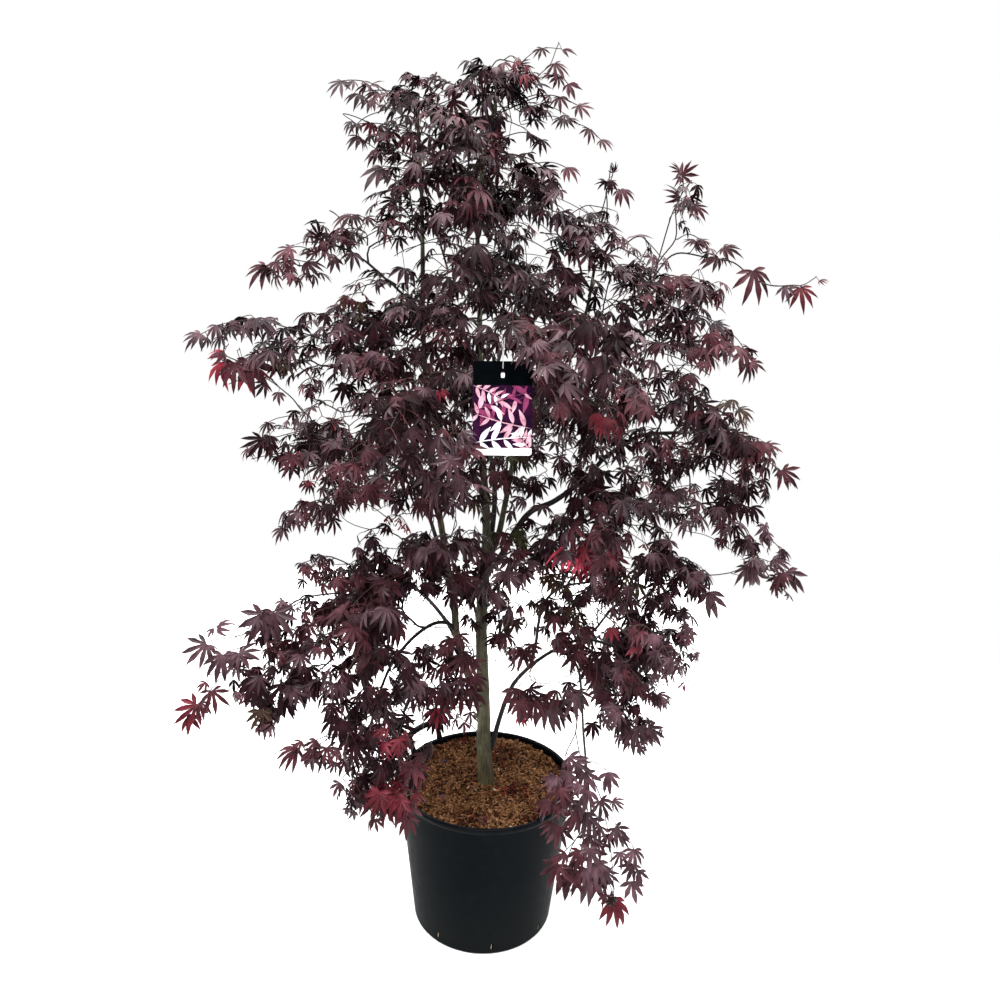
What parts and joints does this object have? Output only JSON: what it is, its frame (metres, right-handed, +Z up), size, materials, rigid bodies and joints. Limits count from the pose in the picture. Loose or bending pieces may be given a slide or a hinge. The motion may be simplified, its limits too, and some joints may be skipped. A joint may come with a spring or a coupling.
{
  "type": "potted maple tree",
  "caption": "Young purple-leaved palmate maple with a slender forked trunk and drooping tiers of foliage, in a round tapered black nursery pot with rim grips and a hanging plant label.",
  "frame": {"origin": "centre of the pot's flat underside", "axes": "+Z up along the pot's axis; -Y towards the front, the side that shows the plant label; +X to the right seen from the front"},
  "size_m": [1.3634, 0.9693, 1.9269],
  "materials": {
    "pot_plastic": "satin",
    "potting_mix": "matte",
    "bark": "matte",
    "foliage": "satin",
    "label_card": "satin"
  },
  "bodies": {
    "root": {"back_leader": "bark", "back_left": "foliage", "back_left_bough": "bark", "back_low_left": "foliage", "back_low_right": "foliage", "back_right_bough": "bark", "back_up": "foliage", "centre_low": "foliage", "far_right_spray": "foliage", "front_left_bough": "bark", "front_right_bough": "bark", "left_hanging": "foliage", "left_hanging_tip": "foliage", "left_leader": "bark", "left_low": "foliage", "left_low_bough": "bark", "left_low_tier": "foliage", "left_low_tip": "foliage", "left_mid_low": "foliage", "left_skirt_front": "foliage", "left_skirt_tip": "foliage", "left_spray_up": "foliage", "left_tier": "foliage", "left_tier_bough": "bark", "left_tier_tip": "foliage", "low_right_bough": "bark", "low_right_fork": "bark", "main_leader": "bark", "middle_back": "foliage", "middle_front_up": "foliage", "plant_label": "label_card", "pot_grip_left": "pot_plastic", "pot_grip_right": "pot_plastic", "pot_shell": "pot_plastic", "potting_mix": "potting_mix", "right_back": "foliage", "right_bough": "bark", "right_front": "foliage", "right_hanging": "foliage", "right_inner": "foliage", "right_leader": "bark", "right_low": "foliage", "right_low_front": "foliage", "right_outer": "foliage", "right_shoulder": "foliage", "right_skirt": "foliage", "right_skirt_outer": "foliage", "right_sprig": "foliage", "right_up": "foliage", "second_left": "bark", "shoulder_bough": "bark", "top_left": "foliage", "top_middle": "foliage", "top_right": "foliage", "trunk": "bark", "upper_back": "foliage", "upper_front": "foliage", "upper_left": "foliage", "upper_right": "foliage", "weeping_bough": "bark"}
  },
  "joints": []
}
